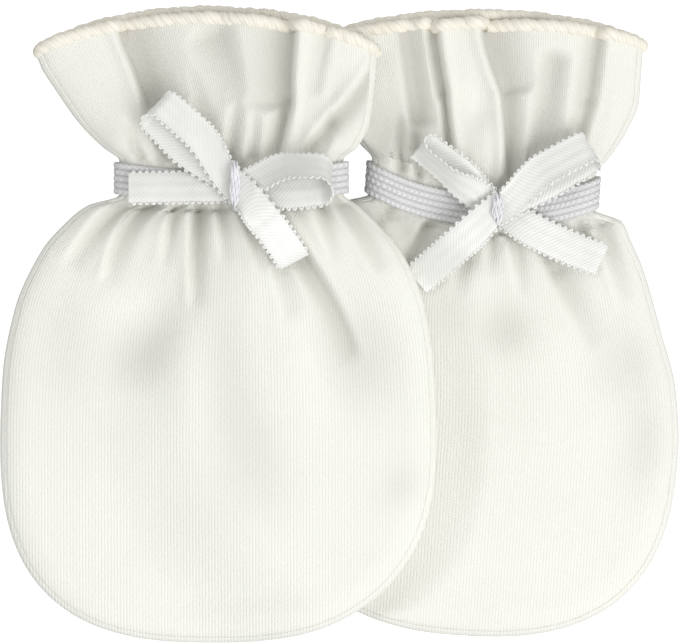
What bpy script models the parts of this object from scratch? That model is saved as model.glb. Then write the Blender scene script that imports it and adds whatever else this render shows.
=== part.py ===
"""A pair of newborn's gathered mittens, laid flat with the left one lying over the right one.

X runs across the pair, Y towards the cuffs and Z up from the surface the pair lies on.
Each mitten is a front and a back panel sewn round the sides and the tip, gathered at the wrist
by an elastic band, with a rolled hem on the cuff and a ribbon bow tacked on the band.
"""
import math
from collections import namedtuple

import bpy
import numpy as np

MM = 0.001                # every size below is in millimetres

WALL = 1.2                # cloth of a panel, with its fleecy nap
SEAM_GAP = 0.3            # between neighbouring pieces
SEAM_INSET = 1.0          # the side seam shows this far inside the outline, on the front
ROLL_MAX = 5.6            # widest run of the rounded side edges
ROLL_TIGHT = 1.55         # least radius that the rounded edge turns on

BAND_WIDTH = 5.6          # knitted elastic
BAND_THICK = 0.8
GROOVE = 3.1              # half width of the pressed-in cloth under the elastic
GROOVE_RUN = 1.9          # how far it takes to come back up
GROOVE_DEPTH = 0.8

HEM_ROLL = 2.1            # thickness of the overlocked rolled edge
HEM_RAISE = 0.5           # the back panel lifts this much to carry the roll
HEM_RAISE_RUN = 4.0
BACK_ARCH_EXTRA = 1.3     # the back rim stands past the front rim

RIBBON_WIDTH = 6.4        # satin ribbon with its looped edges
RIBBON_THICK = 0.5
BOW_HEART = 2.9           # the loops start this far from the tack
BOW_PINCH = 0.75          # and are pinched to this share of their width there
LOOP_LEVEL = 1.7          # ribbon layers under the loops
TACK_LEVEL = 6.6          # and under the thread bar
TACK = (1.6, 6.0, 0.7)    # thread bar that holds the bow: across, along and up

SQUASHED = 4.0            # height of the lower mitten where the upper one lies on it
SQUASH_RUN = 9.0          # and how far it takes to fill out again
LIFT = 5.0                # the upper mitten rides this much higher there
LIFT_RUN = 13.0
TOP_LIFT_RUN = 26.0       # its front panel bridges the rise in a longer run
BRIDGE_EDGE = -2.0        # the gathered wrist bridges from cuff to body, lifted from here on

PAIR_CENTRE = (-0.15, -0.52) # middle of the pair's box, taken off every place

CUFF_STEPS = 4            # sections from the hem to the groove of the elastic
BODY_STEPS = 8            # and from the groove to the widest point, closer near the groove
BODY_CROWDING = 1.7
TIP_STEPS = 14            # rays round the tip
FLAT_STEPS = 7            # from the rounded edge to the middle of a panel

Section = namedtuple("Section", "along left right height arch")
Tip = namedtuple("Tip", "depth lean left_power right_power height")
Fold = namedtuple("Fold", "u1 v1 u2 v2 width depth")
Loop = namedtuple("Loop", "name direction length radius tilt_low tilt_high shift_low shift_high")
Tail = namedtuple("Tail", "name direction length bend level cut")
Mitten = namedtuple("Mitten", "name centre turn hem_tilt sections tip folds bow_at loops tails")

# along: from the elastic towards the hem (+) or the tip (-); arch: rise of the row's middle
LEFT_SECTIONS = [
    Section(20.3, -34.4, 25.6, 6.0, 6.3),
    Section(15.5, -31.2, 25.2, 6.1, 4.4),
    Section(9.5, -26.9, 24.4, 6.2, 2.0),
    Section(5.2, -22.6, 22.2, 6.5, -0.2),
    Section(3.1, -19.9, 19.8, 6.6, -1.2),
    Section(-3.1, -19.9, 19.8, 6.6, -1.8),
    Section(-4.8, -25.4, 22.2, 6.6, -1.6),
    Section(-8.3, -29.8, 25.9, 6.5, -1.0),
    Section(-12.7, -33.6, 29.8, 6.2, -0.4),
    Section(-23.4, -38.5, 34.2, 6.1, 0.0),
    Section(-35.0, -40.6, 35.8, 6.1, 0.0),
    Section(-46.0, -41.0, 36.2, 6.1, 0.0),
]
RIGHT_SECTIONS = [
    Section(22.6, -33.0, 26.6, 6.0, 4.4),
    Section(17.0, -31.0, 26.6, 6.1, 3.0),
    Section(10.5, -27.0, 24.5, 6.2, 0.6),
    Section(5.6, -22.2, 21.6, 6.5, -2.2),
    Section(3.1, -19.9, 19.8, 6.6, -4.2),
    Section(-3.1, -19.9, 19.8, 6.6, -5.0),
    Section(-4.8, -24.6, 24.9, 6.6, -4.4),
    Section(-8.3, -29.0, 26.9, 6.5, -2.8),
    Section(-12.7, -32.8, 29.2, 6.2, -1.2),
    Section(-23.6, -37.2, 33.2, 6.1, 0.0),
    Section(-34.0, -38.4, 36.6, 6.1, 0.0),
    Section(-44.6, -38.6, 37.8, 6.1, 0.0),
]
LEFT_FOLDS = [
    Fold(-19.4, 24.0, -15.0, 13.8, 2.4, 1.2),     # left cuff crease
    Fold(0.6, 23.5, 2.0, 17.0, 4.0, 0.9),         # cuff middle
    Fold(8.2, 27.0, 9.3, 6.0, 2.2, 2.0),          # deep cuff pleat
    Fold(24.0, 17.0, 13.2, 6.0, 2.4, 1.6),        # slanting crease at the right of the cuff
    Fold(-16.9, -6.0, -22.9, -11.5, 1.9, 1.8),
    Fold(-14.2, -6.0, -20.4, -15.5, 2.0, 1.4),
    Fold(-5.8, -6.0, -6.2, -18.5, 1.8, 2.0),
    Fold(6.5, -12.7, 8.6, -18.0, 2.4, 1.0),
    Fold(13.0, -18.0, 21.9, -31.3, 3.2, 1.6),
    Fold(-16.2, -30.4, -10.0, -21.6, 5.0, 1.1),
    Fold(-0.3, -27.0, 5.0, -54.0, 6.5, 1.2),
]
RIGHT_FOLDS = [
    Fold(-15.2, 22.7, -12.9, 11.3, 2.4, 1.8),     # valley beside the upper mitten
    Fold(-10.6, 27.0, -6.2, 5.2, 1.8, 2.0),       # first cuff pleat
    Fold(-1.9, 27.5, 4.5, 3.4, 1.8, 2.0),         # second cuff pleat
    Fold(10.8, 19.0, 9.5, 8.0, 3.0, 0.8),
    Fold(18.0, 25.0, 16.4, 10.7, 2.2, 1.2),
    Fold(-9.4, -8.6, -13.6, -14.1, 1.9, 1.5),
    Fold(-2.0, -11.0, -2.4, -14.5, 2.4, 1.0),
    Fold(12.1, -11.6, 17.9, -19.9, 2.4, 1.6),
    Fold(5.4, -22.9, 2.3, -27.6, 4.2, 1.2),
    Fold(26.1, -27.6, 31.7, -42.4, 4.2, 1.0),
]
LEFT_LOOPS = [
    Loop("bow_loop_left", 136.0, 20.0, 1.5, 0.0, -22.0, 1.6, -2.2),
    Loop("bow_loop_right", 3.0, 17.0, 2.3, 12.0, 44.0, -2.0, 3.2),
]
LEFT_TAILS = [
    Tail("bow_tail_left", 181.0, 18.8, 0.0, 0, 0.0),
    Tail("bow_tail_low", -52.0, 17.0, 0.4, 4.6, 10.0),
]
RIGHT_LOOPS = [
    Loop("bow_loop_left", 142.0, 17.6, 1.6, 20.0, 62.0, -0.9, 1.0),
    Loop("bow_loop_right", 30.5, 19.6, 1.3, 6.0, 20.0, -0.4, 2.2),
]
RIGHT_TAILS = [
    Tail("bow_tail_left", 221.5, 19.0, 0.0, 4.5, 0.0),
    Tail("bow_tail_low", -26.0, 20.4, -0.6, 0, 0.0),
]
MITTENS = [
    Mitten("left", (-19.2, 25.5), 0.0, 0.0, LEFT_SECTIONS, Tip(36.3, -1.2, 2.6, 2.5, 5.4),
           LEFT_FOLDS, (0.8, -1.6), LEFT_LOOPS, LEFT_TAILS),
    Mitten("right", (25.3, 24.4), -4.0, 2.1, RIGHT_SECTIONS, Tip(35.4, 0.6, 2.2, 2.6, 5.4),
           RIGHT_FOLDS, (2.7, -4.4), RIGHT_LOOPS, RIGHT_TAILS),
]
CLOTH = ((0.85, 0.85, 0.80), 0.92)
EDGING = ((0.83, 0.80, 0.71), 0.85)
ELASTIC = ((0.84, 0.84, 0.85), 0.80)
SATIN = ((0.93, 0.93, 0.90), 0.35)
THREAD = ((0.88, 0.88, 0.92), 0.60)


def clear_scene():
    for item in list(bpy.data.objects):
        bpy.data.objects.remove(item, do_unlink=True)


def material(name, look):
    colour, rough = look
    made = bpy.data.materials.new(name)
    made.use_nodes = True
    shader = made.node_tree.nodes["Principled BSDF"]
    shader.inputs["Base Color"].default_value = (*colour, 1.0)
    shader.inputs["Roughness"].default_value = rough
    return made


def ease(value):
    """Smooth step from 0 to 1."""
    value = np.clip(value, 0.0, 1.0)
    return value * value * (3.0 - 2.0 * value)


def unit(vector):
    return vector / np.linalg.norm(vector)


def curve_through(xs, ys):
    """A smooth curve through the points that never swings past them."""
    order = np.argsort(xs)
    xs, ys = np.array(xs)[order], np.array(ys)[order]
    runs = np.diff(xs)
    rates = np.diff(ys) / runs
    slopes = np.zeros(len(xs))
    for i in range(1, len(xs) - 1):
        if rates[i - 1] * rates[i] > 0.0:
            slopes[i] = 2.0 * rates[i - 1] * rates[i] / (rates[i - 1] + rates[i])
    slopes[-1] = rates[-1]

    def value(x):
        i = int(np.clip(np.searchsorted(xs, x) - 1, 0, len(runs) - 1))
        t = float(np.clip((x - xs[i]) / runs[i], 0.0, 1.0))
        rise = ys[i + 1] - ys[i]
        start, end = slopes[i] * runs[i], slopes[i + 1] * runs[i]
        return ys[i] + t * (start + t * (3 * rise - 2 * start - end + t * (start + end - 2 * rise)))
    return value


class Shape:
    """Where the cloth of one mitten lies: its outline, its heights and its folds."""

    def __init__(self, mitten):
        self.mitten = mitten
        rows = mitten.sections
        along = [row.along for row in rows]
        self.hem, self.widest = along[0], along[-1]
        self.left = curve_through(along, [row.left for row in rows])
        self.right = curve_through(along, [row.right for row in rows])
        self.height = curve_through(along, [row.height for row in rows])
        self.arch = curve_through(along, [row.arch for row in rows])
        turn = math.radians(mitten.turn)
        self.cos, self.sin = math.cos(turn), math.sin(turn)
        self.lift_edge = self.squash_edge = None

    def world(self, u, v):
        x = self.mitten.centre[0] + u * self.cos - v * self.sin
        y = self.mitten.centre[1] + u * self.sin + v * self.cos
        return x, y

    def local(self, x, y):
        x, y = x - self.mitten.centre[0], y - self.mitten.centre[1]
        return x * self.cos + y * self.sin, y * self.cos - x * self.sin

    def row_ends(self, along):
        """Left and right end of a row; the hem is tilted, and the rows level out to the wrist."""
        tilt = self.mitten.hem_tilt * max(along / self.hem, 0.0) ** 2
        low, high = along - tilt, along + tilt
        return np.array((self.left(low), low)), np.array((self.right(high), high))

    def tip_edge(self, angle):
        """A point of the rounded tip; the angle runs from pi at the left to 2 pi at the right."""
        tip = self.mitten.tip
        across, down = math.cos(angle), abs(math.sin(angle))
        power = tip.left_power if across < 0 else tip.right_power
        left, right = self.left(self.widest), self.right(self.widest)
        middle, half = (left + right) / 2, (right - left) / 2
        u = middle + math.copysign(half * abs(across) ** (2 / power), across)
        drop = down ** (2 / power)
        return np.array((u + tip.lean * drop ** 2, self.widest - tip.depth * drop))

    def side_outline(self, side):
        """World points down one side, from the hem to the bottom of the tip."""
        rows = np.linspace(self.hem, self.widest, 60)
        points = [self.row_ends(row)[0 if side < 0 else 1] for row in rows]
        for step in np.linspace(0.0, 0.5, 30)[1:]:
            points.append(self.tip_edge(math.pi * (1 + step if side < 0 else 2 - step)))
        return np.array([self.world(*point) for point in points])

    def plan(self, place, share, back):
        """Row, and across and along on it; place runs hem, tip, hem and share edge to middle."""
        if place <= 1.0 or place >= 2.0:
            down = place if place <= 1.0 else 3.0 - place
            row = self.hem + (self.widest - self.hem) * down
            ends = self.row_ends(row)
            across = (1 - share) * (-1 if place <= 1.0 else 1)
            arch = self.arch(row)
            if back:
                arch = max(arch, 0.0) + BACK_ARCH_EXTRA * ease(row / self.hem)
            u, v = (ends[0] * (1 - across) + ends[1] * (1 + across)) / 2
            return row, u, v + arch * (1 - across * across) ** 0.75
        edge = self.tip_edge(math.pi * place)
        ends = self.row_ends(self.widest)
        pole = (ends[0] + ends[1]) / 2
        u, v = edge + (pole - edge) * share
        return v, u, v

    def base(self, x, y, run=LIFT_RUN):
        """How far the mitten is lifted by the one under it."""
        if self.lift_edge is None:
            return 0.0
        edge = min(np.interp(y, *self.lift_edge), BRIDGE_EDGE)
        return LIFT * float(ease((x - edge + run) / (run - 1.0)))

    def raised(self, point, beside, start, share):
        """How much further the front panel is lifted under a ribbon than at the bow. The share
        tells how far the ribbon's whole width counts, not only its middle."""
        spots = [point + beside * reach * share for reach in (-RIBBON_WIDTH / 2, 0.0, RIBBON_WIDTH / 2)]
        highest = max(self.base(spot[0], spot[1], TOP_LIFT_RUN) for spot in spots)
        return highest - self.base(start[0], start[1], TOP_LIFT_RUN)

    def back_height(self, row, x, y):
        pressed = 1 - ease((abs(row) - GROOVE) / GROOVE_RUN)
        under_band = (BAND_THICK + SEAM_GAP + 0.05) * pressed
        under_roll = HEM_RAISE * ease(1 - (self.hem - row) / HEM_RAISE_RUN)
        return self.base(x, y) + under_band + under_roll

    def front_height(self, row, u, v):
        x, y = self.world(u, v)
        height = self.height(row)
        if row < self.widest:
            tip = self.mitten.tip
            height += (tip.height - height) * ease((self.widest - row) / tip.depth)
        height -= GROOVE_DEPTH * (1 - ease((abs(row) - GROOVE) / GROOVE_RUN))
        clear = ease((abs(row) - GROOVE) / (2 * GROOVE_RUN))
        height -= clear * sum(fold_depth(fold, u, v) for fold in self.mitten.folds)
        if self.squash_edge is not None:
            edge = np.interp(y, *self.squash_edge)
            full = float(ease((x - edge - 1.0) / SQUASH_RUN))
            height = SQUASHED + (height - SQUASHED) * full
        back = self.back_height(row, x, y)
        least = back + 2 * WALL + 0.45
        return max(self.base(x, y, TOP_LIFT_RUN) + height, least)

    def edge(self, place):
        """Half of the thickness near the edge, and the run of its rounding."""
        probe = self.plan(place, 0.15, False)
        x, y = self.world(probe[1], probe[2])
        half = (self.front_height(*probe) - self.back_height(probe[0], x, y)) / 2
        return half, min(ROLL_MAX, half * half / ROLL_TIGHT)

    def point(self, place, ring):
        """Outer face of the cloth. The ring runs from -2, the middle of the back, by 0, the very
        edge, to 2, the middle of the front; within -1 and 1 the cloth turns round the edge."""
        back = ring < 0
        row, u, v = self.plan(place, 0.0, False)
        roll = self.edge(place)[1]
        middle = self.plan(place, 1.0, False)
        width = math.hypot(middle[1] - u, middle[2] - v)
        angle = min(abs(ring), 1.0) * math.pi / 2
        reach = roll * (1 - math.cos(angle))
        if abs(ring) > 1.0:
            reach += (abs(ring) - 1.0) * (width - roll)
        row, u, v = self.plan(place, reach / width, back)
        x, y = self.world(u, v)
        low, high = self.back_height(row, x, y), self.front_height(row, u, v)
        turn = math.sin(angle) if abs(ring) < 1.0 else 1.0
        z = (low + high) / 2 + (high - low) / 2 * math.copysign(turn, ring)
        return np.array((x, y, z))

    def normal(self, place, ring):
        step = 1e-3
        start, end = max(place - step, 0.0), min(place + step, 3.0)
        run = self.point(end, ring) - self.point(start, ring)
        low, high = max(ring - step, -2.0), min(ring + step, 2.0)
        over = self.point(place, high) - self.point(place, low)
        return unit(np.cross(run, over))

    def side_places(self):
        """Places of the sections down a side, one on each shoulder of the groove."""
        shoulder = GROOVE + GROOVE_RUN
        rows = list(np.linspace(self.hem, shoulder, CUFF_STEPS + 1))
        rows += [GROOVE, 0.0, -GROOVE]
        shares = np.linspace(0.0, 1.0, BODY_STEPS + 1) ** BODY_CROWDING
        rows += [-shoulder + (self.widest + shoulder) * share for share in shares]
        return [(self.hem - row) / (self.hem - self.widest) for row in rows]

    def seam_ring(self, place):
        """Ring value of the seam there, and half of its gap."""
        half, roll = self.edge(place)
        angle = math.acos(1 - min(SEAM_INSET / roll, 0.4))
        gap = (SEAM_GAP + 0.2) / max((roll + half) / 2 - WALL, 0.5) / 2
        return angle / (math.pi / 2), gap / (math.pi / 2)

    def rings(self, place, front, gap_share):
        """Ring values from the seam to the middle of the front or the back."""
        seam, gap = self.seam_ring(place)
        if front:
            near = [seam + gap * gap_share, (seam + 1) / 2 + 0.04]
        else:
            near = [seam - gap * gap_share, 0.0, -0.45]
        sign = 1 if front else -1
        return near + [sign * (1 + step / FLAT_STEPS) for step in range(FLAT_STEPS + 1)]


def fold_depth(fold, u, v):
    """A soft trough along a line, deepest where it starts and fading to its end."""
    start, end = np.array((fold.u1, fold.v1)), np.array((fold.u2, fold.v2))
    run = end - start
    here = np.array((u, v)) - start
    share = float(np.clip(here @ run / (run @ run), 0.0, 1.0))
    away = np.linalg.norm(here - share * run)
    return fold.depth * (1 - 0.55 * share) * math.exp(-(away / fold.width) ** 2)


def place_object(name, vertices, faces, look):
    mesh = bpy.data.meshes.new(name)
    shift = np.array((PAIR_CENTRE[0], PAIR_CENTRE[1], 0.0))
    mesh.from_pydata([tuple((np.array(v) - shift) * MM) for v in vertices], [], faces)
    mesh.validate()
    mesh.update()
    mesh.shade_smooth()
    mesh.set_sharp_from_angle(angle=math.radians(50))
    thing = bpy.data.objects.new(name, mesh)
    mesh.materials.append(material(name + "_finish", look))
    bpy.context.scene.collection.objects.link(thing)
    return thing


def panel(shape, name, front):
    """One cloth panel: U-shaped lines from hem round the tip to hem, closing on a middle line."""
    side = shape.side_places()
    places = side + [1.0 + step / TIP_STEPS for step in range(1, TIP_STEPS)]
    places += [3.0 - place for place in reversed(side)]
    last = len(places) - 1
    vertices, faces, index = [], [], {}
    for i, place in enumerate(places):
        rings = shape.rings(place, front, 1.0)
        for k, ring in enumerate(rings):
            middle = k == len(rings) - 1
            twin = min(i, last - i)
            key = (min(twin, len(side) - 1) if middle else i, k)
            if key not in index:
                outer = shape.point(place, ring)
                inner = outer - WALL * shape.normal(place, ring)
                index[key] = len(vertices)
                vertices += [outer, inner]
            index[(i, k)] = index[key]
    count = len(rings)
    for i in range(last):
        for k in range(count - 1):
            quad = [index[(i, k)], index[(i + 1, k)], index[(i + 1, k + 1)], index[(i, k + 1)]]
            corners = list(dict.fromkeys(quad))
            faces.append(tuple(corners if front else reversed(corners)))
            faces.append(tuple(c + 1 for c in (reversed(corners) if front else corners)))
    rim = [index[(0, k)] for k in range(count - 1, 0, -1)]
    rim += [index[(i, 0)] for i in range(last)]
    rim += [index[(last, k)] for k in range(count - 1)]
    for a, b in zip(rim, rim[1:] + rim[:1]):
        wall = (a, a + 1, b + 1, b)
        faces.append(wall if front else tuple(reversed(wall)))
    return place_object(name, vertices, faces, CLOTH)


def sweep(name, stations, look, closed):
    """A bar through the stations, each a centre and a ring of offsets round it."""
    vertices, faces = [], []
    sides = len(stations[0][1])
    for centre, offsets in stations:
        vertices += [centre + offset for offset in offsets]
    count = len(stations)
    for i in range(count if closed else count - 1):
        here, there = i * sides, (i + 1) % count * sides
        for k in range(sides):
            after = (k + 1) % sides
            faces.append((here + k, here + after, there + after, there + k))
    if not closed:
        faces.append(tuple(reversed(range(sides))))
        faces.append(tuple(range((count - 1) * sides, count * sides)))
    return place_object(name, vertices, faces, look)


def section_loop(shape, place, make):
    """Stations all round a section: back middle, left edge, front, right edge and back again."""
    loop = []
    for here in (place, 3.0 - place):
        half = shape.rings(here, False, 0.0)[::-1] + shape.rings(here, True, 0.0)[1:]
        loop += [(here, ring) for ring in (half if here == place else half[-2:0:-1])]
    return [make(shape.point(here, ring), shape.normal(here, ring)) for here, ring in loop]


def hem_roll(shape):
    """The overlocked edge, a round bead just past the rims of both panels."""
    radius = HEM_ROLL / 2
    up_cuff = np.array((-shape.sin, shape.cos, 0.0))

    rim = section_loop(shape, 0.0, lambda point, normal: (point - normal * WALL / 2, normal))
    stations = []
    for i, (middle, normal) in enumerate(rim):
        run = unit(rim[(i + 1) % len(rim)][0] - rim[i - 1][0])
        over = unit(up_cuff - run * (up_cuff @ run))
        side = np.cross(run, over)
        centre = middle + over * (SEAM_GAP + 0.2 + radius)
        angles = [-math.tau * k / 6 for k in range(6)]
        offsets = [radius * (math.cos(a) * side + math.sin(a) * over) for a in angles]
        stations.append((centre, offsets))
    return sweep(shape.mitten.name + "_hem_roll", stations, EDGING, True)


def elastic_band(shape):
    """The knitted elastic, a flat ring lying just outside the gathered wrist."""
    wrist = shape.hem / (shape.hem - shape.widest)
    up_cuff = np.array((-shape.sin, shape.cos, 0.0))

    def strip(point, normal):
        flat = unit(normal - up_cuff * (normal @ up_cuff))
        out, in_ = flat * (SEAM_GAP + BAND_THICK), flat * SEAM_GAP
        reach = up_cuff * BAND_WIDTH / 2
        return point, [in_ + reach, out + reach, out - reach, in_ - reach]

    stations = section_loop(shape, wrist, strip)
    return sweep(shape.mitten.name + "_elastic_band", stations, ELASTIC, True)


def bow_base(shape):
    """Where the bow sits: on top of the elastic."""
    u, v = shape.mitten.bow_at
    x, y = shape.world(u, v)
    top = shape.front_height(0.0, u, v) + SEAM_GAP + BAND_THICK
    return np.array((x, y, top))


def level_height(level):
    return SEAM_GAP + RIBBON_THICK / 2 + level * (RIBBON_THICK + SEAM_GAP)


def bow_loop(shape, loop):
    """A loop of ribbon: out along the bottom, round the end and back on top."""
    base = bow_base(shape)
    heading = math.radians(loop.direction)
    ahead = np.array((math.cos(heading), math.sin(heading), 0.0))
    beside = np.array((-ahead[1], ahead[0], 0.0))
    layer = RIBBON_THICK + SEAM_GAP
    straight = loop.length - loop.radius - BOW_HEART
    whole = 2 * straight + math.pi * loop.radius
    steps = 24
    line = []
    for i in range(steps + 1):
        far = whole * i / steps
        turned = min(max((far - straight) / loop.radius, 0.0), math.pi)
        on_top = (1 - math.cos(turned)) / 2
        reach = min(far, straight) - max(far - straight - math.pi * loop.radius, 0.0)
        ahead_reach = reach + loop.radius * math.sin(turned)
        out = ahead_reach / (loop.length - BOW_HEART)
        rise = 2 * loop.radius * on_top
        if turned == math.pi:
            rise = layer + (2 * loop.radius - layer) * float(ease(reach / straight)) ** 1.6
        turn = loop.tilt_low + (loop.tilt_high - loop.tilt_low) * on_top
        tilt = math.radians(turn) * float(ease(out * 1.5))
        edge_drop = RIBBON_WIDTH / 2 * abs(math.sin(tilt))
        lift = rise + max(edge_drop - (rise - 0.5) * on_top, 0.0)
        shift = loop.shift_low + (loop.shift_high - loop.shift_low) * on_top
        shift *= float(ease(out * 1.7)) * (1 - 0.3 * out ** 2)
        point = base + ahead * (BOW_HEART + ahead_reach) + beside * shift
        raised = shape.raised(point, beside, base, float(ease(out * 4)))
        point[2] = base[2] + level_height(LOOP_LEVEL) + lift + raised
        line.append((point, tilt, BOW_PINCH + (1 - BOW_PINCH) * float(ease(out * 2))))
    stations = []
    for i, (point, tilt, wide) in enumerate(line):
        run = unit(line[min(i + 1, steps)][0] - line[max(i - 1, 0)][0])
        across = beside * math.cos(tilt) - np.array((0.0, 0.0, math.sin(tilt)))
        face = unit(np.cross(run, across))
        half, thick = across * wide * RIBBON_WIDTH / 2, face * RIBBON_THICK / 2
        stations.append((point, [half + thick, -half + thick, -half - thick, half - thick]))
    return sweep(f"{shape.mitten.name}_{loop.name}", stations, SATIN, False)


def bow_tail(shape, tail):
    """A free end of ribbon, from the tack down onto the cloth."""
    base = bow_base(shape)
    heading = math.radians(tail.direction)
    ahead = np.array((math.cos(heading), math.sin(heading), 0.0))
    beside = np.array((-ahead[1], ahead[0], 0.0))
    steps = 9
    top = base[2] + level_height(tail.level)
    stations = []
    for i in range(steps + 1):
        t = i / steps
        point = base + ahead * (tail.length * t) + beside * tail.bend * math.sin(math.pi * t)
        under = [point + beside * reach for reach in (-RIBBON_WIDTH / 2, 0.0, RIBBON_WIDTH / 2)]
        cloth = max(cloth_height(shape, spot) for spot in under)
        rest = cloth + SEAM_GAP + RIBBON_THICK / 2 + 0.25
        raised = shape.raised(point, beside, base, float(ease(t * 4)))
        point[2] = max(top + raised + (rest - top - raised) * float(ease(t * 1.4 - 0.4)), rest)
        slant = math.tan(math.radians(tail.cut)) * t ** 8
        half = beside * RIBBON_WIDTH / 2
        thick = np.array((0.0, 0.0, RIBBON_THICK / 2))
        skew = ahead * slant * RIBBON_WIDTH / 2
        offsets = [half + skew + thick, -half - skew + thick, -half - skew - thick, half + skew - thick]
        stations.append((point, offsets))
    return sweep(f"{shape.mitten.name}_{tail.name}", stations, SATIN, False)


def cloth_height(shape, point):
    """Top of the front panel, or of the elastic on it, under a point."""
    u, v = shape.local(point[0], point[1])
    ends = shape.row_ends(max(v, shape.widest))
    across = float(np.clip((2 * u - ends[0][0] - ends[1][0]) / (ends[1][0] - ends[0][0]), -1, 1))
    row = v - shape.arch(v) * (1 - across * across) ** 0.75
    top = shape.front_height(row, u, v)
    if abs(row) < BAND_WIDTH / 2 + 0.6:
        top = shape.front_height(0.0, u, v) + SEAM_GAP + BAND_THICK
    return top


def tack(shape):
    """The bar of thread over the crossing of the bow."""
    base = bow_base(shape)
    wide, long, thick = TACK
    bottom = level_height(TACK_LEVEL) - RIBBON_THICK / 2
    stations = []
    for share in np.linspace(-1.0, 1.0, 7):
        swell = 0.55 + 0.45 * math.sqrt(1 - 0.8 * share * share)
        centre = base + np.array((0.0, share * long / 2, bottom + thick / 2))
        angles = [math.tau * (k + 0.5) / 8 for k in range(8)]
        offsets = [np.array((swell * wide / 2 * math.cos(a), 0.0, swell * thick / 2 * math.sin(a)))
                   for a in reversed(angles)]
        stations.append((centre, offsets))
    return sweep(shape.mitten.name + "_bow_tack", stations, THREAD, False)


def build_mitten(shape):
    name = shape.mitten.name
    panel(shape, name + "_front_panel", True)
    panel(shape, name + "_back_panel", False)
    hem_roll(shape)
    elastic_band(shape)
    for loop in shape.mitten.loops:
        bow_loop(shape, loop)
    for tail in shape.mitten.tails:
        bow_tail(shape, tail)
    tack(shape)


def main():
    clear_scene()
    left, right = (Shape(mitten) for mitten in MITTENS)
    under = right.side_outline(-1)[::-1]
    over = left.side_outline(1)[::-1]
    left.lift_edge = (under[:, 1], under[:, 0])
    right.squash_edge = (over[:, 1], over[:, 0])
    for shape in (left, right):
        build_mitten(shape)


main()
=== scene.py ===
import math

import bpy
import numpy as np
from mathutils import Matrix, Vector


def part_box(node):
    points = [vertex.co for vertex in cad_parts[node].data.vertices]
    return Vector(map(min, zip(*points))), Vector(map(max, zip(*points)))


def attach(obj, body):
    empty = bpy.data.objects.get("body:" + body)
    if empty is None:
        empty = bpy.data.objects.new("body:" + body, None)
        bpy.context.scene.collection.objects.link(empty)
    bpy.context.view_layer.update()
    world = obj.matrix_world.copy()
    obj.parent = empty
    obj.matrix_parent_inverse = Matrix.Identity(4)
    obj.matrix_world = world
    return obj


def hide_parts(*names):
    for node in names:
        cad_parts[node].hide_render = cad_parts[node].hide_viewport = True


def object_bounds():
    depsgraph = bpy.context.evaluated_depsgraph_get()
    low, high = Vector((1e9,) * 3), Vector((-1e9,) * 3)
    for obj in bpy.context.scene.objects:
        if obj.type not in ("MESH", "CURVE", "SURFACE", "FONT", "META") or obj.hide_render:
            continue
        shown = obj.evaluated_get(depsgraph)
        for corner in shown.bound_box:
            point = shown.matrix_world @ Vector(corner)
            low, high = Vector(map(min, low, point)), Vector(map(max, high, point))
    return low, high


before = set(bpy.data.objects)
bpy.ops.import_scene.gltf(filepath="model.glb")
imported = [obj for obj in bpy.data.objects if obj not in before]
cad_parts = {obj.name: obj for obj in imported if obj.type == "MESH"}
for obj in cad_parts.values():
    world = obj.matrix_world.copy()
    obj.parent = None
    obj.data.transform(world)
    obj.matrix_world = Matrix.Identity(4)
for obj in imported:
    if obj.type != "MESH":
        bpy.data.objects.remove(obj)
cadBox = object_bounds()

mm = 0.001  # every table below is in millimetres, in the frame that the CAD pieces stand in

clothLook = {
    "wall": 0.8,               # knitted cotton
    "seamGap": 0.1,
    "seamInset": 1.0,          # the side seam shows this far inside the outline, on the front
    "seamDip": 0.1,            # how deep the seam pulls the cloth in
    "seamDipWidth": 0.35,
    "rollMax": 5.6,            # widest run of the rounded side edges
    "rollTight": 1.55,
    "rimReach": 0.7,           # the cut edge reaches this far into the rolled hem
    "cuffSteps": 46,
    "wristSteps": 34,
    "bodySteps": 50,
    "tipSteps": 150,
    "edgeSteps": 14,
    "flatSteps": 96,
    "backFlatSteps": 60,
    "flatHalf": 42.0,          # half the width that each panel was cut to
    "cut": (0.084, 0.114),     # metres, width and length
    "cutArea": 0.0089,
}
wrist = {
    "groove": 3.1,             # half width of the cloth pressed in by the elastic
    "grooveRun": 1.9,
    "grooveDepth": 0.8,
    "bandWidth": 5.6,
    "bandThick": 0.8,
    "bandGap": 0.3,
    "gatherDepth": 0.85,
    "gatherRun": 4.6,
}
stacking = {
    "squashed": 4.0,           # height of the lower mitten under the upper one
    "squashRun": 9.0,
    "lift": 5.0,               # the upper mitten rides this much higher there
    "liftRun": 13.0,
    "topLiftRun": 26.0,        # its top layer bridges the rise in a longer run
    "bridgeEdge": -1.85,
    "hemRaise": 0.5,
    "hemRaiseRun": 4.0,
    "backArchExtra": 1.3,
}

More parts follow.
